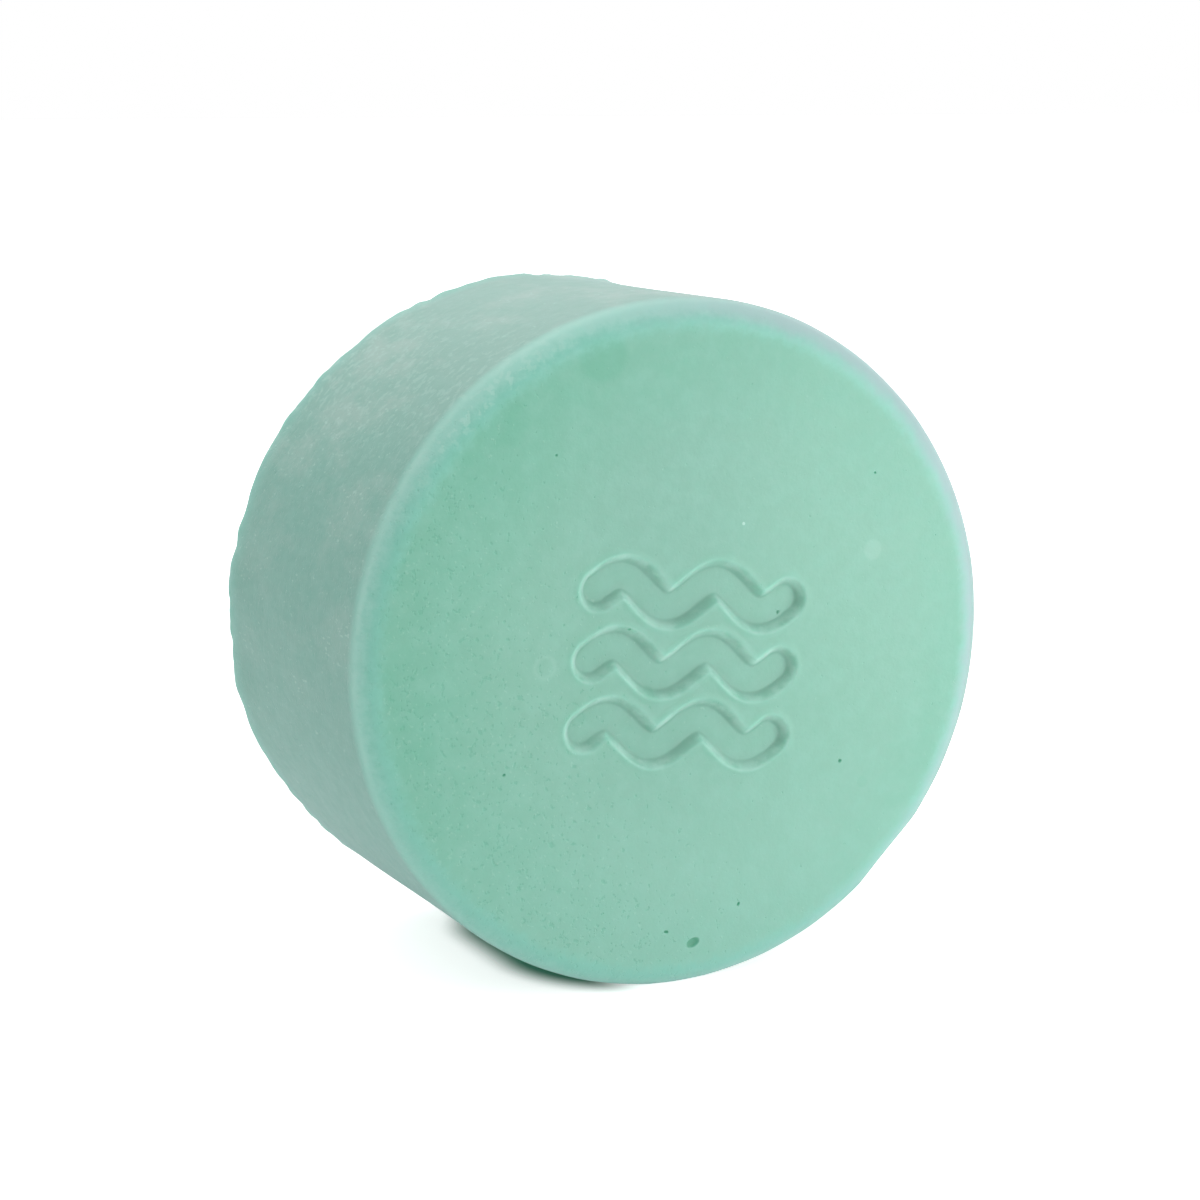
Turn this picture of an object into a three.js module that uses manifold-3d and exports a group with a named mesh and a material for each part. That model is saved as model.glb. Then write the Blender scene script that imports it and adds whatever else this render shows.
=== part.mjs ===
// A round shaving soap puck, cast in one piece and standing on its side.
// Millimetres, +Z up. The puck's axis lies along Y, its stamped face looks along -Y, and the
// origin is the point on the surface it stands on, under the middle of the puck.

import * as THREE from "three";
import { mergeVertices } from "three/addons/utils/BufferGeometryUtils.js";
import Module from "manifold-3d";

// Overall sizes.
const DIAMETER = 63.5;
const THICKNESS = 34.6;

// The moulded front edge is well rounded. The back edge, trimmed after the pour, is only broken.
const FRONT_FILLET = 2.5;
const BACK_CHAMFER = 0.5;

// The width of the slight flat that soft soap takes where it stands, which keeps it from rolling.
const STANDING_FLAT = 7;

// The stamped mark: a stack of plain wavy grooves, pressed into the front face.
const MARK_GROOVES = 3;
const MARK_LENGTH = 19.2;
const MARK_PITCH = 6.4;
const MARK_STROKE = 3.2;
const MARK_DEPTH = 0.8;
const WAVE_HEIGHT = 1.3;
const WAVES_PER_GROOVE = 2;
const MARK_DROP = 1.3;
const MARK_TILT_DEG = 7;

// How finely the round shapes are faceted.
const SIDE_FACETS = 96;
const FILLET_STEPS = 5;
const GROOVE_STEPS = 40;
const END_STEPS = 8;

// How far a cutter stands proud of the face it cuts.
const CUTTER_PROUD = 1;

const RADIUS = DIAMETER / 2;
const FRONT_Y = -THICKNESS / 2;
const BACK_Y = THICKNESS / 2;
const AXIS_HEIGHT = Math.sqrt(RADIUS ** 2 - (STANDING_FLAT / 2) ** 2);

const wasm = await Module();
wasm.setup();

function solidFrom(geometry) {
  const bare = geometry.clone();
  bare.deleteAttribute("normal");
  bare.deleteAttribute("uv");
  const merged = mergeVertices(bare);
  return new wasm.Manifold(
    new wasm.Mesh({
      numProp: 3,
      vertProperties: merged.attributes.position.array,
      triVerts: new Uint32Array(merged.index.array),
    }),
  );
}

function geometryFrom(solid) {
  const mesh = solid.getMesh();
  const geometry = new THREE.BufferGeometry();
  geometry.setAttribute("position", new THREE.BufferAttribute(mesh.vertProperties, 3));
  geometry.setIndex(new THREE.BufferAttribute(mesh.triVerts, 1));
  geometry.computeVertexNormals();
  return geometry;
}

// Half of the puck's section, from the middle of the front face round to the middle of the back.
function puckSection() {
  const section = new THREE.Path();
  section.moveTo(0, FRONT_Y);
  section.lineTo(RADIUS - FRONT_FILLET, FRONT_Y);
  section.absarc(RADIUS - FRONT_FILLET, FRONT_Y + FRONT_FILLET, FRONT_FILLET, -Math.PI / 2, 0);
  section.lineTo(RADIUS, BACK_Y - BACK_CHAMFER);
  section.lineTo(RADIUS - BACK_CHAMFER, BACK_Y);
  section.lineTo(0, BACK_Y);
  return section.getPoints(FILLET_STEPS);
}

// The round side is a polygon whose facets are DIAMETER apart, with one facet straight down.
function roundBody() {
  const halfFacet = Math.PI / SIDE_FACETS;
  const body = new THREE.LatheGeometry(puckSection(), SIDE_FACETS, halfFacet);
  const cornersOverFacets = 1 / Math.cos(halfFacet);
  body.scale(cornersOverFacets, 1, cornersOverFacets);
  return solidFrom(body);
}

// Everything below the standing flat, measured from the puck's axis.
function standingCutter() {
  const cutter = new THREE.BoxGeometry(DIAMETER, THICKNESS + 2 * CUTTER_PROUD, DIAMETER);
  cutter.translate(0, 0, -AXIS_HEIGHT - RADIUS);
  return solidFrom(cutter);
}

// The middle line of one groove: a sine wave about a level line through the origin.
class WaveLine extends THREE.Curve {
  getPoint(t) {
    const x = (t - 0.5) * MARK_LENGTH;
    const y = WAVE_HEIGHT * Math.sin(t * WAVES_PER_GROOVE * 2 * Math.PI);
    return new THREE.Vector2(x, y);
  }
}

// The points of a half circle, without its two ends, starting from the given angle.
function roundEnd(centre, startAngle) {
  const points = [];
  for (let i = 1; i < END_STEPS; i++) {
    const angle = startAngle + (i / END_STEPS) * Math.PI;
    const outwards = new THREE.Vector2(Math.cos(angle), Math.sin(angle));
    points.push(centre.clone().addScaledVector(outwards, MARK_STROKE / 2));
  }
  return points;
}

// A groove's outline: the wave line set out by half a stroke on both sides, with round ends.
function grooveOutline() {
  const line = new WaveLine();
  const below = [];
  const above = [];
  for (let i = 0; i <= GROOVE_STEPS; i++) {
    const point = line.getPoint(i / GROOVE_STEPS);
    const along = line.getTangent(i / GROOVE_STEPS);
    const across = new THREE.Vector2(-along.y, along.x);
    below.push(point.clone().addScaledVector(across, -MARK_STROKE / 2));
    above.unshift(point.clone().addScaledVector(across, MARK_STROKE / 2));
  }
  const rightEnd = roundEnd(line.getPoint(1), line.getTangent(1).angle() - Math.PI / 2);
  const leftEnd = roundEnd(line.getPoint(0), line.getTangent(0).angle() + Math.PI / 2);
  return new THREE.Shape([...below, ...rightEnd, ...above, ...leftEnd]);
}

function grooveCutter(index) {
  const level = ((MARK_GROOVES - 1) / 2 - index) * MARK_PITCH;
  const cutter = new THREE.ExtrudeGeometry(grooveOutline(), {
    depth: MARK_DEPTH + CUTTER_PROUD,
    bevelEnabled: false,
  });
  cutter.translate(0, level, -MARK_DEPTH);
  cutter.rotateZ(-THREE.MathUtils.degToRad(MARK_TILT_DEG));
  cutter.translate(0, -MARK_DROP, 0);
  cutter.rotateX(Math.PI / 2);
  cutter.translate(0, FRONT_Y, 0);
  return solidFrom(cutter);
}

function soapPuck() {
  let puck = roundBody().subtract(standingCutter());
  for (let i = 0; i < MARK_GROOVES; i++) {
    puck = puck.subtract(grooveCutter(i));
  }
  const soap = new THREE.MeshStandardMaterial({ color: 0x94cdb9, roughness: 0.6, metalness: 0 });
  const mesh = new THREE.Mesh(geometryFrom(puck), soap);
  mesh.name = "soap_puck";
  mesh.position.z = AXIS_HEIGHT;
  return mesh;
}

const model = new THREE.Group();
model.add(soapPuck());

export default model;
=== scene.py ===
"""A mint green puck of shaving soap, cast in one piece and standing on its side in a plain studio.

The script is laid out as a Blender add-on. It shapes the puck finely around its packed solid,
gives it a waxy, slightly translucent soap, and sets the floor, the lights and the camera.
"""

import math

import bmesh
import bpy
from bpy.props import FloatProperty, FloatVectorProperty, IntProperty, PointerProperty
from mathutils import Matrix, Vector, noise
from mathutils.kdtree import KDTree


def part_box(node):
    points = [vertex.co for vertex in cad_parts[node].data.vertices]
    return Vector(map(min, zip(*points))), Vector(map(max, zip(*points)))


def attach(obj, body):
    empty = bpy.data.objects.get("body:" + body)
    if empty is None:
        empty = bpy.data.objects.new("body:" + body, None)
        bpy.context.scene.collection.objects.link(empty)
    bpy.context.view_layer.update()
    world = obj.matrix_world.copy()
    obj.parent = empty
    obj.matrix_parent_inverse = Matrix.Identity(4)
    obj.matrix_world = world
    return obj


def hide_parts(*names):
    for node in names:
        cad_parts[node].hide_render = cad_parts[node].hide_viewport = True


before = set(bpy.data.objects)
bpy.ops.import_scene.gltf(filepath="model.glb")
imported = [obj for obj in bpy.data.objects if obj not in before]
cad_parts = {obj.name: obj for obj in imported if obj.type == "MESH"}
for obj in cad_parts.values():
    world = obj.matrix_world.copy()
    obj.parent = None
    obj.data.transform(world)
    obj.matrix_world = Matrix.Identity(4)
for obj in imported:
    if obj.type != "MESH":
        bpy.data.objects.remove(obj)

bl_info = {
    "name": "Shaving Soap Puck",
    "version": (1, 0, 0),
    "blender": (4, 5, 0),
    "location": "View3D > Sidebar > Soap",
    "description": "Casts a stamped puck of shaving soap around its packed solid",
    "category": "Add Mesh",
}

MM = 0.001

# Values kept at each point of the mesh for the soap's colours.
EDGE_WEAR = "edge_wear"
PIT_HOLLOW = "pit_hollow"

# The puck's own sizes, from its packed solid.
PUCK_LOW, PUCK_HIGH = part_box("soap_puck")
RADIUS = (PUCK_HIGH.x - PUCK_LOW.x) / 2
FRONT_Y = PUCK_LOW.y
BACK_Y = PUCK_HIGH.y
AXIS = Vector((0, 0, PUCK_HIGH.z - RADIUS))

# Trapped air that opened in the front face: across, up, half length, half width and depth in mm,
# measured from the middle of the face, and the turn of its length in degrees.
FACE_PITS = (
    (0.8, -27.6, 0.72, 0.46, 0.30, 20),
    (-2.0, -26.2, 0.26, 0.15, 0.20, -15),
    (5.5, -24.5, 0.22, 0.14, 0.18, 55),
    (16.2, -12.0, 0.20, 0.17, 0.20, 0),
    (9.8, 2.6, 0.18, 0.15, 0.18, 0),
    (-5.8, 2.4, 0.16, 0.14, 0.15, 0),
    (-18.2, -9.6, 0.17, 0.14, 0.15, 30),
    (-13.0, 18.5, 0.15, 0.12, 0.12, 0),
    (19.5, 15.0, 0.14, 0.12, 0.12, 0),
)


# ---------------------------------------------------------------- settings


def length(name, description, default_mm):
    """A size in metres that the sidebar shows as a length."""
    return FloatProperty(
        name=name,
        description=description,
        default=default_mm * MM,
        min=0,
        precision=5,
        unit="LENGTH",
        subtype="DISTANCE",
    )


def colour(name, description, default):
    """A linear colour."""
    return FloatVectorProperty(
        name=name,
        description=description,
        default=default,
        size=3,
        min=0,
        max=1,
        subtype="COLOR",
    )


class SoapCastingSizes(bpy.types.PropertyGroup):
    """How the cast puck departs from a plain round block."""

    front_fillet: length("Front fillet", "Radius of the moulded front edge", 2.5)
    face_fall: length("Face fall", "How far the face falls away towards its fillet", 0.18)
    face_fall_width: length("Face fall width", "How wide that falling ring is", 6)
    back_edge: length("Back edge", "Radius of the trimmed back edge", 0.7)
    back_sink: length("Back sink", "How far the poured back sinks in its middle", 0.25)
    wall_wave: length("Wall wave", "How far the side wanders from round", 0.12)
    trim_wander: length("Trim wander", "How far the trimmed edge wanders", 0.40)
    trim_tear: length("Trim tear", "How ragged the trimmed edge is", 0.38)
    bruise_depth: length("Bruise depth", "How deep the knock on the rim is", 0.28)


class SoapMarkSizes(bpy.types.PropertyGroup):
    """The stack of wavy grooves that is stamped in the front face."""

    grooves: IntProperty(name="Grooves", description="Number of grooves", default=3, min=1)
    waves: IntProperty(name="Waves", description="Waves along each groove", default=2, min=1)
    length: length("Length", "Length of a groove between its round ends", 19.2)
    pitch: length("Pitch", "Distance between neighbouring grooves", 6.4)
    stroke: length("Stroke", "Width of a groove", 3.2)
    depth: length("Depth", "Depth of a groove", 0.8)
    wave_height: length("Wave height", "Height of a wave's crest above its middle", 1.3)
    drop: length("Drop", "How far the mark's middle lies below the face's", 1.3)
    wall: length("Wall", "Width of a groove's sloping wall", 0.9)
    lip: length("Lip", "Height of the lip that the stamp raised", 0.05)
    tilt: FloatProperty(
        name="Tilt",
        description="How far the mark leans to the right",
        default=math.radians(7),
        subtype="ANGLE",
        unit="ROTATION",
    )


class SoapColours(bpy.types.PropertyGroup):
    """The colours of the soap."""

    body: colour("Body", "The face of the soap", (0.228, 0.495, 0.385))
    # Also painted on the table by the puck's foot as its green shade.
    deep: colour("Deep", "Clearer soap in the ring inside the rim", (0.175, 0.475, 0.350))
    # On the fillet this also stands in part for painted light.
    rim: colour("Rim", "Thin light soap where the face rounds off", (0.240, 0.575, 0.480))
    # The soap's own bloom in places, and painted light on the lower face and on the rim.
    bloom: colour("Bloom", "The dry pale bloom on the rim", (0.370, 0.660, 0.580))
    # Painted reflection of the cool light that grazes the right of the rim.
    lilac: colour("Lilac", "The cool bloom on the right of the rim", (0.360, 0.482, 0.492))
    # Also mixed in as painted shade on the face and the rim.
    side: colour("Side", "The dulled side", (0.180, 0.405, 0.330))
    # Also mixed in evenly on top of the side as painted light.
    chalk: colour("Chalk", "Chalky patches on the side", (0.350, 0.500, 0.440))
    # Also the pale line along the ridge where the side begins.
    fleck: colour("Fleck", "Specks of dry soap", (0.475, 0.710, 0.630))
    pit: colour("Pit", "Wet-looking soap down in a pit", (0.080, 0.400, 0.250))


class SoapStudio(bpy.types.PropertyGroup):
    """The camera and the lights."""

    azimuth: FloatProperty(
        name="Azimuth",
        description="Where the camera stands round the puck, from straight in front",
        default=math.radians(-26),
        subtype="ANGLE",
        unit="ROTATION",
    )
    elevation: FloatProperty(
        name="Elevation",
        description="How far the camera looks down",
        default=math.radians(10.5),
        subtype="ANGLE",
        unit="ROTATION",
    )
    distance: length("Distance", "From the camera to the point that it looks at", 266.7)
    aim_rise: length("Aim rise", "How far above the puck's axis the camera looks", 1.75)
    aim_left: length("Aim left", "How far to the left of the puck's axis the camera looks", 0.3)
    lens: FloatProperty(name="Lens", description="Focal length in mm", default=83.6, min=1)
    room: FloatProperty(name="Room", description="Brightness of the dim room", default=0.32)
    ceiling: FloatProperty(name="Ceiling", description="Brightness overhead", default=0.97)
    backdrop: FloatProperty(name="Backdrop", description="Brightness of the backdrop", default=1.0)
    table: FloatProperty(name="Table", description="Glow of the table as it is seen", default=0.70)
    table_fill: FloatProperty(
        name="Table fill",
        description="Glow of the table as it lights the puck",
        default=0.22,
    )
    key: FloatProperty(name="Key", description="Power of the key softbox in W", default=0.22)
    top: FloatProperty(name="Top", description="Power of the top softbox in W", default=0.27)


# ---------------------------------------------------------------- shape


def smooth_step(value, low, high):
    """0 below low, 1 above high, and a smooth rise between them."""
    t = min(max((value - low) / (high - low), 0), 1)
    return t * t * (3 - 2 * t)


def hump(value, middle, half_width):
    """1 at middle, falling smoothly to 0 half_width away on both sides."""
    return 1 - smooth_step(abs(value - middle), 0, half_width)


# How finely the plain block is divided: across a disc, round its edges and along its side.
CELLS_ACROSS = 80
FILLET_STEPS = 10
EDGE_STEPS = 4
WALL_STEPS = 36


def add_disc(bm, radius, y):
    """A grid of quads across the axis, drawn round into a disc."""
    made = bmesh.ops.create_grid(bm, x_segments=CELLS_ACROSS, y_segments=CELLS_ACROSS, size=1)
    for vert in made["verts"]:
        across, up = vert.co.x, vert.co.y
        x = across * math.sqrt(1 - up * up / 2) * radius
        z = up * math.sqrt(1 - across * across / 2) * radius
        vert.co = AXIS + Vector((x, y, z))


def grow_ring(bm, border, radius, y):
    """Extrudes a round border to another radius and another place along the axis."""
    made = bmesh.ops.extrude_edge_only(bm, edges=border)["geom"]
    verts = [item for item in made if isinstance(item, bmesh.types.BMVert)]
    first = verts[0].co - AXIS
    growth = radius / math.hypot(first.x, first.z)
    bmesh.ops.scale(bm, vec=(growth, 1, growth), space=Matrix.Translation(-AXIS), verts=verts)
    bmesh.ops.translate(bm, vec=(0, y - first.y, 0), verts=verts)
    new = set(verts)
    edges = [item for item in made if isinstance(item, bmesh.types.BMEdge)]
    return [edge for edge in edges if edge.verts[0] in new and edge.verts[1] in new]


def edge_arc(radius, steps):
    """How far in and how far along each step of a quarter round lies, from face to side."""
    for i in range(1, steps + 1):
        angle = i / steps * math.pi / 2
        yield radius * (1 - math.sin(angle)), radius * (1 - math.cos(angle))


def add_round_body(bm, sizes):
    """The plain round block: a disc, its fillet, the side, the back edge and a second disc."""
    fillet, edge = sizes.front_fillet, sizes.back_edge
    add_disc(bm, RADIUS - fillet, FRONT_Y)
    border = [e for e in bm.edges if e.is_boundary]
    for inset, along in edge_arc(fillet, FILLET_STEPS):
        border = grow_ring(bm, border, RADIUS - inset, FRONT_Y + along)
    wall_start, wall_end = FRONT_Y + fillet, BACK_Y - edge
    for i in range(1, WALL_STEPS + 1):
        y = wall_start + (wall_end - wall_start) * i / WALL_STEPS
        border = grow_ring(bm, border, RADIUS, y)
    # From the side to the back the same quarter round runs with in and along exchanged.
    for along, inset in edge_arc(edge, EDGE_STEPS):
        border = grow_ring(bm, border, RADIUS - inset, BACK_Y - along)
    front_faces = set(bm.faces)
    add_disc(bm, RADIUS - edge, BACK_Y)
    back_faces = [face for face in bm.faces if face not in front_faces]
    bmesh.ops.reverse_faces(bm, faces=back_faces)
    bmesh.ops.remove_doubles(bm, verts=bm.verts, dist=0.001 * MM)


class StampedMark:
    """The wavy grooves' middle lines, and how deep the face is at any point."""

    def __init__(self, sizes):
        self.sizes = sizes
        self.lines = self.middle_lines()
        self.reach = math.hypot(sizes.length, sizes.pitch * sizes.grooves) / 2 + sizes.stroke

    def middle_lines(self):
        """The points of all the grooves' middle lines, for looking up the nearest."""
        sizes = self.sizes
        steps = 1200
        tree = KDTree((steps + 1) * sizes.grooves)
        turn = Matrix.Rotation(sizes.tilt, 4, "Y")
        for groove in range(sizes.grooves):
            level = ((sizes.grooves - 1) / 2 - groove) * sizes.pitch
            for i in range(steps + 1):
                phase = i / steps * sizes.waves * 2 * math.pi
                x = (i / steps - 0.5) * sizes.length
                z = level + sizes.wave_height * math.sin(phase)
                point = turn @ Vector((x, 0, z)) - Vector((0, 0, sizes.drop))
                tree.insert(point, groove * (steps + 1) + i)
        tree.balance()
        return tree

    def beyond_edge(self, x, z):
        """Distance outside the nearest groove's edge, which is negative inside the groove."""
        if math.hypot(x, z) > self.reach + self.sizes.drop:
            return self.reach
        _, _, distance = self.lines.find((x, 0, z))
        return distance - self.sizes.stroke / 2

    def wear(self, x, z):
        """1 on the edge of a groove, falling to 0 beside it."""
        return hump(self.beyond_edge(x, z), 0.1 * self.sizes.wall, 0.6 * self.sizes.wall)

    def depth(self, x, z):
        """How far the face is pressed in, with the raised lip as a negative depth."""
        sizes = self.sizes
        beyond = self.beyond_edge(x, z)
        groove = sizes.depth * smooth_step(-beyond, -sizes.wall / 2, sizes.wall / 2)
        lip = sizes.lip * hump(beyond, 0.6 * sizes.wall, 0.5 * sizes.wall)
        return groove - lip


class AirPit:
    """One small open bubble in the front face."""

    def __init__(self, x, z, half_length, half_width, depth, turn):
        self.middle = Vector((x, 0, z)) * MM
        self.turn = Matrix.Rotation(math.radians(turn), 3, "Y")
        self.half_length = half_length * MM
        self.half_width = half_width * MM
        self.bottom = depth * MM

    def reach(self, x, z):
        """0 in the middle of the pit and 1 on its edge."""
        offset = self.turn @ (Vector((x, 0, z)) - self.middle)
        return math.hypot(offset.x / self.half_length, offset.z / self.half_width)

    def beyond_edge(self, x, z):
        """Roughly the distance outside the pit's edge."""
        return (self.reach(x, z) - 1) * self.half_width

    def depth(self, x, z):
        """A round-bottomed hollow with a softened edge."""
        reach = self.reach(x, z)
        if reach > 1.3:
            return 0
        return self.bottom * math.sqrt(max(1 - reach * reach, 0)) * smooth_step(-reach, -1.05, -0.8)


# How near a groove's or a pit's edge the face is divided again, once for each distance in mm.
GROOVE_REFINING = (1.5, 1.0, 0.62)
PIT_REFINING = (0.9, 0.5, 0.3, 0.18)


def refine(bm, nearness, reaches):
    """Halves the front face's quads again and again where nearness is under each reach."""
    for reach in reaches:
        close = set()
        for face in bm.faces:
            middle = face.calc_center_median() - AXIS
            if middle.y < FRONT_Y + 0.1 * MM and abs(nearness(middle.x, middle.z)) < reach * MM:
                close.update(face.edges)
        bmesh.ops.subdivide_edges(bm, edges=list(close), cuts=1, use_grid_fill=True)


# One seed for each kind of unevenness.
FACE_SEED, WALL_SEED, RIPPLE_SEED, TRIM_SEED = 3, 11, 17, 23
TEAR_SEED, RAGGED_SEED, BACK_SEED, BACK_TEAR_SEED = 31, 37, 41, 47


def wander(seed, *place):
    """Smooth noise from -1 to 1 at a place given in the noise's own scale."""
    return noise.noise(Vector(place) + Vector((seed, 0, 0)))


def shape_face(place, sizes, mark, pits):
    """Where a point of the front face goes along the axis."""
    out = math.hypot(place.x, place.z)
    ring = smooth_step(out, RADIUS - sizes.front_fillet - sizes.face_fall_width, RADIUS)
    unevenness = 0.03 * MM * wander(FACE_SEED, place.x / (9 * MM), 0, place.z / (9 * MM))
    hollow = mark.depth(place.x, place.z) + sum(pit.depth(place.x, place.z) for pit in pits)
    return sizes.face_fall * ring + unevenness + hollow


# Where the side swells or falls in: the turn from the right and the half width in degrees,
# then how far out in mm at the front and at the trimmed edge.
SIDE_SWELLS = (
    (3, 55, 0.34, 0.0),
    (73, 15, 0.0, 0.35),
    (106, 14, 0.0, -0.35),
    (127, 8, 0.0, -0.22),
    (137, 12, 0.0, -0.15),
    (160, 7, 0.0, -0.22),
    (172, 6, 0.0, 0.30),
    (191, 7, 0.0, 0.30),
    (200, 14, 0.0, 0.30),
    (236, 8, 0.0, -0.15),
)

# How far from the trimmed edge its wandering and its tears reach along the side.
TRIM_REACH = 9 * MM
TEAR_REACH = 2.5 * MM

# Where the rim was knocked flat, as a turn from the right in degrees, and how far back it fades.
KNOCK_TURN = 316
KNOCK_REACH = 9 * MM


def turn_between(turn, middle):
    """The turn from middle, from -180 to 180 degrees."""
    return (turn - middle + 180) % 360 - 180


def side_shift(place, sizes):
    """How far a point on the side or an edge moves out from the axis."""
    out = math.hypot(place.x, place.z)
    along_x, along_z = place.x / out, place.z / out
    before_back = place.y - BACK_Y
    wall = wander(WALL_SEED, along_x * 1.6, along_z * 1.6, place.y / (45 * MM))
    ripple = wander(RIPPLE_SEED, along_x * 9, along_z * 9, place.y / (12 * MM))
    shift = sizes.wall_wave * (wall + 0.35 * ripple)

    near_trim = smooth_step(before_back, -TRIM_REACH, 0)
    shift += sizes.trim_wander * near_trim * wander(TRIM_SEED, along_x * 2.6, along_z * 2.6, 0)
    turn = math.degrees(math.atan2(place.z, place.x))
    for middle, half_width, at_front, at_trim in SIDE_SWELLS:
        amount = at_front * (1 - near_trim) + at_trim * near_trim
        shift += amount * MM * hump(turn_between(turn, middle), 0, half_width)

    at_edge = smooth_step(before_back, -TEAR_REACH, -0.2 * MM)
    ragged = smooth_step(wander(RAGGED_SEED, along_x * 3, along_z * 3, 0), -0.35, 0.35)
    tear = wander(TEAR_SEED, along_x * 19, along_z * 19, place.y / (1.5 * MM))
    shift += sizes.trim_tear * at_edge * tear * (0.2 + 0.8 * ragged)

    from_knock = math.radians(turn_between(turn, KNOCK_TURN))
    flat = (RADIUS - sizes.bruise_depth) / max(math.cos(from_knock), 0.5)
    fading = 1 - smooth_step(place.y - FRONT_Y, 1 * MM, KNOCK_REACH)
    return shift - max(RADIUS - flat, 0) * fading


def back_shift(place, sizes):
    """How far a point of the back moves along the axis."""
    out = math.hypot(place.x, place.z) / RADIUS
    sink = sizes.back_sink * (1 - out * out)
    drift = 0.08 * MM * wander(BACK_SEED, place.x / (7 * MM), 0, place.z / (7 * MM))
    along = Vector((place.x, 0, place.z)).normalized()
    tear = 0.5 * sizes.trim_tear * wander(BACK_TEAR_SEED, along.x * 20, along.z * 20, 0)
    return drift + tear * smooth_step(out, 0.93, 1) - sink


def shape_puck(bm, sizes, mark, pits):
    """Moves every point of the plain block to where the casting has it."""
    edge_wear = bm.verts.layers.float.new(EDGE_WEAR)
    pit_hollow = bm.verts.layers.float.new(PIT_HOLLOW)
    fillet = sizes.front_fillet
    back_layer = 2 * MM
    for vert in bm.verts:
        place = vert.co - AXIS
        out = math.hypot(place.x, place.z)
        edge_share = smooth_step(out, RADIUS - 2 * fillet, RADIUS - 0.2 * fillet)
        move = Vector()
        if edge_share > 0:
            move += Vector((place.x, 0, place.z)) / out * side_shift(place, sizes) * edge_share
        if place.y < FRONT_Y + fillet:
            share = 1 - smooth_step(place.y, FRONT_Y, FRONT_Y + fillet)
            move.y += shape_face(place, sizes, mark, pits) * share
            vert[edge_wear] = mark.wear(place.x, place.z)
            nearest = min(pit.reach(place.x, place.z) for pit in pits)
            vert[pit_hollow] = 1 - smooth_step(nearest, 0.7, 1.1)
        if place.y > BACK_Y - back_layer:
            share = smooth_step(place.y, BACK_Y - back_layer, BACK_Y)
            move.y += back_shift(place, sizes) * share
        vert.co += move
        vert.co.z = max(vert.co.z, PUCK_LOW.z)


def cast_mesh(scene):
    """The finished mesh of the puck."""
    sizes = scene.soap_casting
    mark = StampedMark(scene.soap_mark)
    pits = [AirPit(*pit) for pit in FACE_PITS]
    bm = bmesh.new()
    add_round_body(bm, sizes)
    refine(bm, mark.beyond_edge, GROOVE_REFINING)
    refine(bm, lambda x, z: min(pit.beyond_edge(x, z) for pit in pits), PIT_REFINING)
    shape_puck(bm, sizes, mark, pits)
    bmesh.ops.recalc_face_normals(bm, faces=bm.faces)
    for face in bm.faces:
        face.smooth = True
    mesh = bpy.data.meshes.new("cast_soap_puck")
    bm.to_mesh(mesh)
    bm.free()
    return mesh


# ---------------------------------------------------------------- soap


class NodeBench:
    """Adds nodes to one tree, each linked or set by its input values."""

    def __init__(self, tree):
        self.tree = tree

    def add(self, kind, inputs=None, **settings):
        """A node with its settings, and its inputs linked or set."""
        node = self.tree.nodes.new(kind)
        for name, value in settings.items():
            setattr(node, name, value)
        for name, value in (inputs or {}).items():
            self.feed(node.inputs[name], value)
        return node

    def feed(self, socket, value):
        """Links a socket to another, or sets its own value."""
        if isinstance(value, bpy.types.NodeSocket):
            self.tree.links.new(value, socket)
        else:
            socket.default_value = value

    def math(self, operation, first, second=0.0, third=0.0):
        """One sum on values."""
        values = {0: first, 1: second, 2: third}
        return self.add("ShaderNodeMath", values, operation=operation).outputs[0]

    def product(self, first, *others):
        """Several values multiplied."""
        for other in others:
            first = self.math("MULTIPLY", first, other)
        return first

    def ramp(self, value, low, high, to_low=0.0, to_high=1.0):
        """A smooth rise from to_low to to_high as value goes from low to high."""
        inputs = {
            "Value": value,
            "From Min": low,
            "From Max": high,
            "To Min": to_low,
            "To Max": to_high,
        }
        return self.add("ShaderNodeMapRange", inputs, interpolation_type="SMOOTHSTEP").outputs[0]

    def band(self, value, middle, half_width):
        """1 at middle, falling smoothly to 0 half_width away."""
        distance = self.math("ABSOLUTE", self.math("SUBTRACT", value, middle))
        return self.ramp(distance, 0.0, half_width, 1.0, 0.0)

    def noise(self, vector, scale, detail=2.0, roughness=0.5):
        """Cloudy noise from 0 to 1."""
        inputs = {"Vector": vector, "Scale": scale, "Detail": detail, "Roughness": roughness}
        return self.add("ShaderNodeTexNoise", inputs).outputs["Fac"]

    def mix(self, share, first, second):
        """Two colours mixed."""
        node = self.add("ShaderNodeMix", data_type="RGBA")
        self.feed(node.inputs["Factor"], share)
        self.feed(node.inputs[6], first)
        self.feed(node.inputs[7], second)
        return node.outputs[2]


def opaque(rgb):
    """A colour with full alpha."""
    return (*rgb, 1.0)


def new_group(name, inputs):
    """An empty node group with a vector input, some value inputs and one mask output."""
    group = bpy.data.node_groups.new(name, "ShaderNodeTree")
    face = group.interface
    face.new_socket("Vector", in_out="INPUT", socket_type="NodeSocketVector")
    for key, value in inputs.items():
        face.new_socket(key, in_out="INPUT", socket_type="NodeSocketFloat").default_value = value
    face.new_socket("Mask", in_out="OUTPUT", socket_type="NodeSocketFloat")
    bench = NodeBench(group)
    return group, bench, bench.add("NodeGroupInput").outputs


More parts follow.
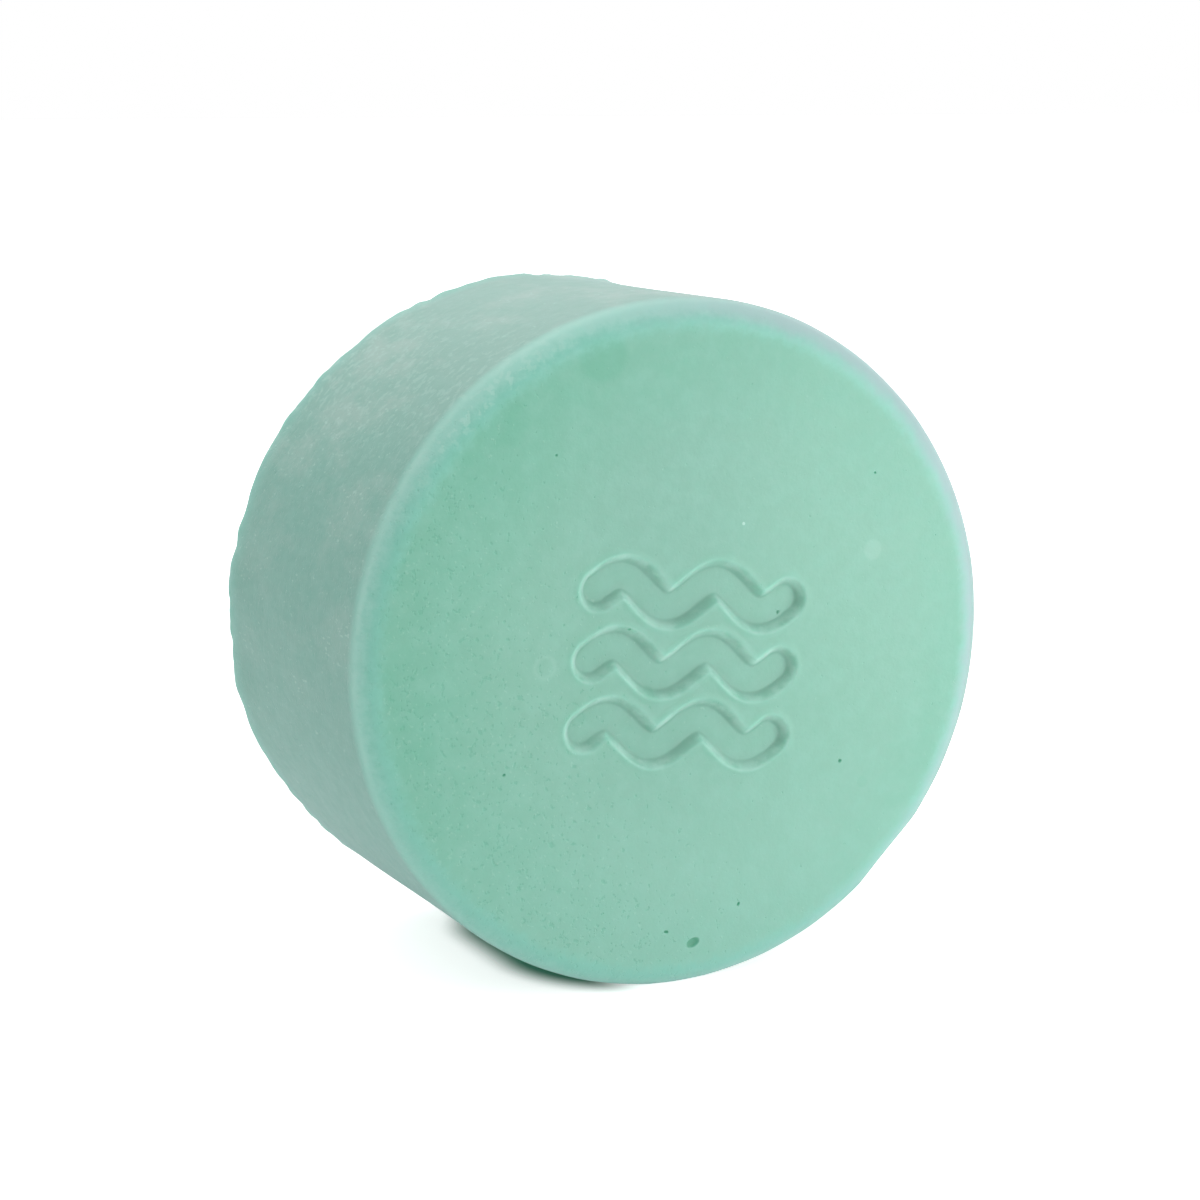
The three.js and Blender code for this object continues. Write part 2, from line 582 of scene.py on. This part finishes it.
def dots_group():
    """Scattered round dots of mixed sizes: only a share of the cells holds one."""
    group, bench, given = new_group("scattered_dots", {"Scale": 1.0, "Size": 0.2, "Share": 0.5})
    cells = bench.add("ShaderNodeTexVoronoi", {"Vector": given["Vector"], "Scale": given["Scale"]})
    chance = bench.add("ShaderNodeSeparateColor", {"Color": cells.outputs["Color"]}).outputs
    chosen = bench.math("LESS_THAN", chance["Red"], given["Share"])
    size = bench.math("MULTIPLY", given["Size"], bench.math("ADD", chance["Green"], 0.35))
    inner = bench.math("MULTIPLY", size, 0.4)
    dot = bench.ramp(cells.outputs["Distance"], inner, size, 1.0, 0.0)
    bench.add("NodeGroupOutput", {"Mask": bench.math("MULTIPLY", dot, chosen)})
    return group


def pores_group():
    """Irregular pores that cover a share of the surface: high spots of a fine noise."""
    group, bench, given = new_group("irregular_pores", {"Scale": 1.0, "Level": 0.62})
    noise_value = bench.noise(given["Vector"], given["Scale"], 2.0, 0.6)
    high = bench.math("ADD", given["Level"], 0.09)
    bench.add("NodeGroupOutput", {"Mask": bench.ramp(noise_value, given["Level"], high)})
    return group


def stain_group():
    """One soft round stain at a place on the face."""
    inputs = {"Across": 0.0, "Up": 0.0, "Radius": 1.0, "Hollow": 0.0}
    group, bench, given = new_group("round_stain", inputs)
    axes = bench.add("ShaderNodeSeparateXYZ", {0: given["Vector"]}).outputs
    across = bench.math("SUBTRACT", axes["X"], given["Across"])
    up = bench.math("SUBTRACT", axes["Z"], given["Up"])
    squares = bench.math("MULTIPLY_ADD", across, across, bench.product(up, up))
    reach = bench.math("DIVIDE", bench.math("SQRT", squares), given["Radius"])
    disc = bench.ramp(reach, 0.75, 1.15, 1.0, 0.0)
    middle = bench.ramp(reach, 0.45, 0.85, given["Hollow"], 0.0)
    front = bench.math("LESS_THAN", axes["Y"], 0.0)
    mask = bench.math("MULTIPLY", bench.math("SUBTRACT", disc, middle), front)
    bench.add("NodeGroupOutput", {"Mask": mask})
    return group


# Stains on the face: across, up and radius in mm, how hollow, which colour and how strong.
FACE_STAINS = (
    (-8.4, 27.0, 2.4, 0.0, "pit", 0.26),
    (-18.3, 22.0, 2.6, 0.0, "pit", 0.16),
    (-14.2, -0.3, 1.2, 1.0, "fleck", 0.14),
    (-3.7, -3.6, 0.6, 0.0, "pit", 0.18),
    (18.7, -14.3, 0.6, 0.0, "pit", 0.10),
    (-10.3, -5.3, 0.5, 0.0, "pit", 0.10),
    (19.4, 7.8, 1.0, 0.0, "fleck", 0.15),
    (5.7, 11.2, 0.16, 0.0, "fleck", 0.8),
)


class SoapSurface:
    """Builds the soap's nodes: where the surface is, then its colour, then its grain."""

    def __init__(self, bench, scene):
        self.bench = bench
        self.radius = RADIUS / MM
        self.fillet = scene.soap_casting.front_fillet / MM
        self.groups = {"dots": dots_group(), "pores": pores_group(), "stain": stain_group()}
        colours = scene.soap_colours
        self.tones = {name: opaque(getattr(colours, name)) for name in colours.__annotations__}
        self.find_places()
        self.add_noises()

    def group(self, name, vector, **values):
        """One placed node group's mask."""
        node = self.bench.add("ShaderNodeGroup", node_tree=self.groups[name])
        self.bench.feed(node.inputs["Vector"], vector)
        for key, value in values.items():
            self.bench.feed(node.inputs[key], value)
        return node.outputs["Mask"]

    def find_places(self):
        """Places in mm from the middle of the axis, and how far out, back, left and up they are."""
        bench = self.bench
        raw = bench.add("ShaderNodeTexCoord").outputs["Object"]
        mapping = {"Vector": raw, "Location": -AXIS / MM, "Scale": (1 / MM,) * 3}
        self.place = bench.add("ShaderNodeMapping", mapping).outputs[0]
        flat = {0: self.place, 1: (1, 0, 1)}
        flat = bench.add("ShaderNodeVectorMath", flat, operation="MULTIPLY").outputs[0]
        self.out = bench.add("ShaderNodeVectorMath", {0: flat}, operation="LENGTH").outputs["Value"]
        axes = bench.add("ShaderNodeSeparateXYZ", {0: self.place}).outputs
        self.behind = bench.math("SUBTRACT", axes["Y"], FRONT_Y / MM)
        self.leftward = bench.math("DIVIDE", axes["X"], -self.radius)
        self.upward = bench.math("DIVIDE", axes["Z"], self.radius)

    def add_noises(self):
        """The clouds, mottle, grain and streaks that the colours and the bumps share."""
        bench = self.bench
        self.cloud = bench.noise(self.place, 0.09, 3.0, 0.55)
        self.mottle = bench.noise(self.place, 0.5, 4.0, 0.6)
        self.grain = bench.noise(self.place, 2.6, 3.0, 0.6)
        drawn = {"Vector": self.place, "Scale": (1.1, 0.5, 1.1)}
        self.drawn = bench.add("ShaderNodeMapping", drawn).outputs[0]
        self.patches = bench.ramp(bench.noise(self.drawn, 0.14, 5.0, 0.7), 0.44, 0.68)
        self.streaks = bench.noise(self.drawn, 1.1, 5.0, 0.65)

    def add_pores(self):
        """Pores that crowd the lower left of the face, open bubbles, and dry flecks."""
        bench = self.bench
        lower_left = bench.math("SUBTRACT", self.leftward, bench.product(self.upward, 0.45))
        crowd = bench.ramp(lower_left, -0.3, 0.9)
        level = bench.ramp(crowd, 0.0, 1.0, 0.70, 0.585)
        self.pores = self.group("pores", self.place, Scale=1.95, Level=level)
        share = bench.ramp(crowd, 0.0, 1.0, 0.06, 0.35)
        self.bubbles = self.group("dots", self.place, Scale=0.8, Size=0.13, Share=share)
        shifted = {"Vector": self.place, "Location": (40, 0, 40)}
        shifted = bench.add("ShaderNodeMapping", shifted).outputs[0]
        level = bench.ramp(crowd, 0.0, 1.0, 0.68, 0.60)
        self.specks = self.group("pores", shifted, Scale=2.2, Level=level)
        level = bench.ramp(self.patches, 0.0, 1.0, 0.66, 0.59)
        self.flecks = self.group("pores", self.drawn, Scale=2.0, Level=level)

    def colour(self):
        """The soap's colour from the face out to the rim, the side and the back edge."""
        soap = self.face_colour()
        soap = self.rim_colour(soap)
        soap = self.side_colour(soap)
        return self.edge_colour(soap)

    def face_colour(self):
        """The face: clearer in a ring inside the rim that is partly painted shade on the left, with
        painted shade across its middle and painted light towards its bottom, mottled, stained and
        pored.
        """
        bench, tones = self.bench, self.tones
        # The clearer ring is the soap's own, but its widening and deepening on the left and at the top
        # are painted shade, and its fading at the bottom is painted light.
        reach = bench.ramp(self.leftward, -0.2, 0.8, 6.0, 16.0)
        reach = bench.math("ADD", reach, bench.ramp(self.upward, 0.0, 0.9, 0.0, 7.0))
        clear = bench.product(
            bench.band(self.out, self.radius - 1.2 * self.fillet, reach),
            bench.ramp(self.cloud, 0.3, 0.7, 0.6, 1.0),
            bench.ramp(self.leftward, -0.9, 0.4, 0.45, 1.0),
            bench.ramp(self.upward, -1.0, -0.3, 0.3, 1.0),
        )
        # Painted shade: the middle of the face, above its lower part, is turned towards the side's
        # colour.
        painted_shade = bench.product(
            bench.band(self.leftward, 0.05, 0.55),
            bench.ramp(self.upward, -0.75, -0.15),
            0.3,
        )
        soap = bench.mix(painted_shade, tones["body"], tones["side"])
        soap = bench.mix(clear, soap, tones["deep"])
        soap = bench.mix(bench.ramp(self.mottle, 0.35, 0.75, 0.0, 0.16), soap, tones["bloom"])
        # Painted light: the lower face turns paler towards the bottom, where the white table lights it.
        soap = bench.mix(bench.ramp(self.upward, -0.95, -0.15, 0.27, 0.0), soap, tones["bloom"])
        for across, up, size, hollow, name, amount in FACE_STAINS:
            mask = self.group(
                "stain", self.place, Across=across, Up=up, Radius=size, Hollow=hollow
            )
            soap = bench.mix(bench.product(mask, amount), soap, tones[name])
        soap = bench.mix(bench.product(self.pores, 0.24), soap, tones["pit"])
        soap = bench.mix(bench.product(self.bubbles, 0.6), soap, tones["pit"])
        return bench.mix(bench.product(self.specks, 0.16), soap, tones["fleck"])

    def rim_colour(self, soap):
        """The rounded rim: lighter and hazed, partly the soap's own and partly painted light, with a
        painted lilac reflection on the right and painted shade on its lower right.
        """
        bench, fillet, radius, tones = self.bench, self.fillet, self.radius, self.tones
        # The light band and the haze on the rim are partly the soap's own dry haze and partly painted
        # light, lifting the fillet where it turns away from the key, most on the top and the left.
        fray = bench.math("SUBTRACT", self.streaks, 0.5)
        frayed = bench.math("MULTIPLY_ADD", fray, 2.0, self.out)
        frayed = bench.math("ADD", frayed, bench.ramp(self.upward, 0.0, 0.9, 0.0, 0.6))
        rounding = bench.ramp(frayed, radius - 1.15 * fillet, radius - 0.5 * fillet, 0.0, 0.8)
        soap = bench.mix(rounding, soap, tones["rim"])
        haze_and_painted_light = bench.product(
            bench.ramp(frayed, radius - 0.6 * fillet, radius - 0.05 * fillet),
            bench.ramp(self.upward, -0.7, 0.5, 0.45, 0.80),
            bench.ramp(self.leftward, -0.8, -0.1, 0.3, 1.0),
        )
        soap = bench.mix(haze_and_painted_light, soap, tones["bloom"])
        # Painted reflection: the cool light that grazes the right of the rim, painted in as a lilac
        # colour.
        feather = bench.math("SUBTRACT", self.mottle, 0.5)
        feathered = bench.math("MULTIPLY_ADD", feather, 1.5, self.out)
        cool = bench.product(
            bench.ramp(feathered, radius - 1.1 * fillet, radius - 0.3 * fillet),
            bench.ramp(self.leftward, -0.45, 0.45, 0.85, 0.0),
            bench.ramp(self.upward, -0.95, -0.1, 0.25, 1.0),
        )
        soap = bench.mix(cool, soap, tones["lilac"])
        # Painted shade: the outer rim on the right and the bottom is turned towards the side's colour,
        # darkening it where the key and the table light it.
        painted_shade = bench.product(
            bench.ramp(self.out, radius - 0.5 * fillet, radius - 0.1 * fillet, 0.0, 0.55),
            bench.ramp(self.leftward, -0.8, -0.2, 1.0, 0.0),
            bench.ramp(self.upward, -0.1, 0.5, 1.0, 0.0),
        )
        return bench.mix(painted_shade, soap, tones["side"])

    def side_colour(self, soap):
        """The matte side: streaked, with chalky patches and painted light on top, and lighter at its
        back edge.
        """
        bench, tones = self.bench, self.tones
        thickness = (BACK_Y - FRONT_Y) / MM
        # Chalky patches that grow towards the top, plus an even painted light on the top of the side,
        # where the overhead light falls.
        chalk_and_painted_top_light = bench.math(
            "MULTIPLY_ADD",
            self.patches,
            bench.ramp(self.upward, -0.5, 0.6, 0.0, 0.45),
            bench.ramp(self.upward, 0.4, 1.0, 0.0, 0.4),
        )
        back_edge = bench.ramp(self.behind, thickness - 4.0, thickness - 0.8, 0.0, 0.45)
        wall = bench.mix(bench.ramp(self.streaks, 0.35, 0.75, 0.0, 0.12), tones["side"], tones["bloom"])
        wall = bench.mix(chalk_and_painted_top_light, wall, tones["chalk"])
        wall = bench.mix(back_edge, wall, tones["rim"])
        wall = bench.mix(bench.product(self.flecks, 0.28), wall, tones["fleck"])
        return bench.mix(bench.ramp(self.behind, 0.5 * self.fillet, 1.15 * self.fillet), soap, wall)

    def edge_colour(self, soap):
        """A pale line along the ridge where the side begins, stronger on top and to the left, peeling
        patches of dry soap, wet pits and worn edges.
        """
        bench, fillet, tones = self.bench, self.fillet, self.tones
        # A pale line along the ridge where the side begins, stronger on top and to the left.
        ridge = bench.product(
            bench.band(bench.math("MULTIPLY_ADD", self.streaks, 0.7, self.behind), 0.74 * fillet, 0.5),
            bench.ramp(self.upward, -0.5, 0.4, 0.05, 0.38),
            bench.ramp(self.leftward, 0.1, 0.6, 0.4, 1.0),
            bench.ramp(self.mottle, 0.3, 0.7, 0.3, 1.2),
        )
        soap = bench.mix(ridge, soap, tones["fleck"])
        peeling = bench.product(
            bench.band(self.out, self.radius - 0.4 * fillet, 0.7 * fillet),
            bench.ramp(self.upward, 0.35, 0.75),
            bench.ramp(self.leftward, 0.2, 0.6, 0.0, 0.45),
            self.group("pores", self.place, Scale=1.2, Level=0.53),
        )
        soap = bench.mix(peeling, soap, tones["fleck"])
        hollow = bench.add("ShaderNodeAttribute", attribute_name=PIT_HOLLOW).outputs["Fac"]
        soap = bench.mix(bench.product(hollow, 0.68), soap, tones["pit"])
        edge = bench.add("ShaderNodeAttribute", attribute_name=EDGE_WEAR).outputs["Fac"]
        worn = bench.product(edge, bench.ramp(self.mottle, 0.35, 0.65, 0.15, 0.55))
        return bench.mix(worn, soap, tones["fleck"])

    def bump(self):
        """A fine waxy grain, sunken pores and a drawn side."""
        bench = self.bench
        height = bench.math("MULTIPLY", self.grain, 0.02)
        for noise_value, amount in (
            (self.mottle, 0.05),
            (self.pores, -0.045),
            (self.bubbles, -0.12),
            (self.streaks, 0.03),
            (self.specks, 0.02),
        ):
            height = bench.math("MULTIPLY_ADD", noise_value, amount, height)
        inputs = {"Height": height, "Distance": MM, "Strength": 0.7}
        return bench.add("ShaderNodeBump", inputs).outputs[0]

    def roughness(self):
        """Waxier on the face, drier on the side and where it mottles."""
        bench = self.bench
        gloss = bench.ramp(self.mottle, 0.3, 0.8, 0.46, 0.60)
        dry = bench.ramp(self.behind, 0.5 * self.fillet, 1.5 * self.fillet, 0.0, 0.1)
        return bench.math("ADD", gloss, dry)


def soap_material(scene):
    """Waxy soap: clearer green inside the rim, a pale haze on the rim, a matte streaky side, with
    painted light, shade and reflection on the face, the rim and the side.
    """
    material = bpy.data.materials.new("mint_shaving_soap")
    material.use_nodes = True
    material.node_tree.nodes.clear()
    bench = NodeBench(material.node_tree)
    surface = SoapSurface(bench, scene)
    surface.add_pores()
    inputs = {
        "Base Color": surface.colour(),
        "Roughness": surface.roughness(),
        "Normal": surface.bump(),
        "Subsurface Weight": 0.8,
        "Subsurface Radius": (0.6, 1.0, 0.9),
        "Subsurface Scale": 2.0 * MM,
        "Sheen Weight": 0.20,
        "Sheen Roughness": 0.35,
        "Sheen Tint": (0.80, 0.82, 1.0, 1.0),
    }
    shader = bench.add("ShaderNodeBsdfPrincipled", inputs)
    bench.add("ShaderNodeOutputMaterial", {"Surface": shader.outputs[0]})
    return material


# ---------------------------------------------------------------- stage


# The faint warmth of the table evens out the green light that the puck throws on it.
TABLE_COLOUR = (0.84, 0.80, 0.81)

# Where the softboxes stand, and their widths.
KEY_PLACE, KEY_SIZE = Vector((0.13, -0.15, 0.025)), 0.11
TOP_PLACE, TOP_SIZE = Vector((-0.02, 0.10, 0.33)), 0.20


def outside_painted_foot_shadow(bench):
    """Painted contact shadow: 0 on the table along the left of the line that the puck stands on, and 1
    clear of it.
    """
    raw = bench.add("ShaderNodeTexCoord").outputs["Object"]
    axes = bench.add("ShaderNodeSeparateXYZ", {0: raw}).outputs
    beyond = bench.math("SUBTRACT", bench.math("ABSOLUTE", axes["Y"]), BACK_Y - 13 * MM)
    beyond = bench.math("MAXIMUM", beyond, 0.0)
    squares = bench.math("MULTIPLY_ADD", beyond, beyond, bench.product(axes["X"], axes["X"]))
    near = bench.ramp(bench.math("SQRT", squares), 10.6 * MM, 14.8 * MM, 1.0, 0.0)
    shaded = bench.ramp(axes["X"], -8 * MM, -3.2 * MM, 1.0, 0.0)
    return bench.math("SUBTRACT", 1.0, bench.product(near, shaded))


def add_light_table(scene, studio):
    """A wide, pale, faintly glowing table at the height that the puck stands on, with a painted contact
    shadow by the puck's foot.
    """
    bm = bmesh.new()
    bmesh.ops.create_grid(bm, x_segments=8, y_segments=8, size=6)
    mesh = bpy.data.meshes.new("light_table")
    bm.to_mesh(mesh)
    bm.free()
    material = bpy.data.materials.new("white_acrylic")
    material.use_nodes = True
    shader = material.node_tree.nodes["Principled BSDF"]
    shader.inputs["Roughness"].default_value = 0.7
    bench = NodeBench(material.node_tree)
    seen = bench.add("ShaderNodeLightPath").outputs["Is Camera Ray"]
    bench.feed(shader.inputs["Emission Color"], (1, 1, 1, 1))
    clear = outside_painted_foot_shadow(bench)
    # Painted shade: the table turns soap green by the puck's foot, for the green light that the puck
    # throws there.
    painted_green_foot_shade = bench.mix(clear, opaque(scene.soap_colours.deep), opaque(TABLE_COLOUR))
    bench.feed(shader.inputs["Base Color"], painted_green_foot_shade)
    # Painted contact shadow: the table's glow is cut by the puck's foot.
    shown = bench.product(clear, studio.table)
    glow = bench.ramp(seen, 0.0, 1.0, studio.table_fill, shown)
    bench.feed(shader.inputs["Emission Strength"], glow)
    mesh.materials.append(material)
    table = bpy.data.objects.new("light_table", mesh)
    scene.collection.objects.link(table)


def add_softbox(scene, name, place, size, watts):
    """A square area light that faces the puck."""
    light = bpy.data.lights.new(name, "AREA")
    light.shape = "SQUARE"
    light.size = size
    light.energy = watts
    lamp = bpy.data.objects.new(name, light)
    lamp.location = place
    lamp.rotation_mode = "QUATERNION"
    lamp.rotation_quaternion = (AXIS - lamp.location).to_track_quat("-Z", "Y")
    scene.collection.objects.link(lamp)


def set_room(scene, studio):
    """A dim room with a bright ceiling, and a white backdrop opposite the camera."""
    world = bpy.data.worlds.new("room")
    world.use_nodes = True
    tree = world.node_tree
    bench = NodeBench(tree)
    direction = bench.add("ShaderNodeTexCoord").outputs["Generated"]
    a = studio.azimuth
    away = (-math.sin(a), math.cos(a), 0)
    facing = bench.add("ShaderNodeVectorMath", {0: direction, 1: away}, operation="DOT_PRODUCT")
    share = bench.ramp(facing.outputs["Value"], 0.3, 0.85)
    height = bench.add("ShaderNodeSeparateXYZ", {0: direction}).outputs["Z"]
    strength = bench.ramp(height, 0.0, 0.9, studio.room, studio.ceiling)
    strength = bench.ramp(share, 0.0, 1.0, strength, studio.backdrop)
    background = tree.nodes["Background"]
    bench.feed(background.inputs["Color"], (1, 1, 1, 1))
    bench.feed(background.inputs["Strength"], strength)
    scene.world = world


def set_camera(scene, studio):
    """A long lens, looking slightly down at the stamped face from its left."""
    camera = bpy.data.cameras.new("camera")
    camera.sensor_width = 36
    camera.lens = studio.lens
    camera.clip_start = 0.01
    camera.clip_end = 20
    mount = bpy.data.objects.new("camera", camera)
    a, e = studio.azimuth, studio.elevation
    back = Vector((math.sin(a) * math.cos(e), -math.cos(a) * math.cos(e), math.sin(e)))
    left = Vector((-math.cos(a), -math.sin(a), 0))
    aim = AXIS + Vector((0, 0, studio.aim_rise)) + left * studio.aim_left
    mount.location = aim + back * studio.distance
    mount.rotation_mode = "QUATERNION"
    mount.rotation_quaternion = (-back).to_track_quat("-Z", "Y")
    scene.collection.objects.link(mount)
    scene.camera = mount


# ---------------------------------------------------------------- add-on


class SOAP_OT_cast_puck(bpy.types.Operator):
    """Cast the puck, give it its soap and let it stand for the packed solid"""

    bl_idname = "soap.cast_puck"
    bl_label = "Cast Puck"

    def execute(self, context):
        mesh = cast_mesh(context.scene)
        mesh.materials.append(soap_material(context.scene))
        puck = bpy.data.objects.new("cast_soap_puck", mesh)
        context.scene.collection.objects.link(puck)
        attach(puck, "root")
        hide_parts("soap_puck")
        return {"FINISHED"}


class SOAP_OT_set_stage(bpy.types.Operator):
    """Set the light table, the room, the two softboxes and the camera"""

    bl_idname = "soap.set_stage"
    bl_label = "Set Stage"

    def execute(self, context):
        scene = context.scene
        studio = scene.soap_studio
        add_light_table(scene, studio)
        set_room(scene, studio)
        add_softbox(scene, "key", KEY_PLACE, KEY_SIZE, studio.key)
        add_softbox(scene, "top", TOP_PLACE, TOP_SIZE, studio.top)
        set_camera(scene, studio)
        scene.view_settings.view_transform = "Standard"
        return {"FINISHED"}


class SOAP_PT_panel(bpy.types.Panel):
    """Sizes, colours and steps of the soap puck"""

    bl_idname = "SOAP_PT_panel"
    bl_label = "Shaving Soap Puck"
    bl_space_type = "VIEW_3D"
    bl_region_type = "UI"
    bl_category = "Soap"

    def draw(self, context):
        for name in SETTINGS:
            group = getattr(context.scene, name)
            box = self.layout.box()
            box.label(text=group.__doc__)
            for key in group.__annotations__:
                box.prop(group, key)
        for operator in (SOAP_OT_cast_puck, SOAP_OT_set_stage):
            self.layout.operator(operator.bl_idname)


SETTINGS = {
    "soap_casting": SoapCastingSizes,
    "soap_mark": SoapMarkSizes,
    "soap_colours": SoapColours,
    "soap_studio": SoapStudio,
}
CLASSES = (*SETTINGS.values(), SOAP_OT_cast_puck, SOAP_OT_set_stage, SOAP_PT_panel)


def register():
    for cls in CLASSES:
        bpy.utils.register_class(cls)
    for name, group in SETTINGS.items():
        setattr(bpy.types.Scene, name, PointerProperty(type=group))


def unregister():
    for name in SETTINGS:
        delattr(bpy.types.Scene, name)
    for cls in reversed(CLASSES):
        bpy.utils.unregister_class(cls)


def main():
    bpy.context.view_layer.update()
    register()
    bpy.ops.soap.cast_puck()
    bpy.ops.soap.set_stage()


if __name__ == "__main__":
    main()
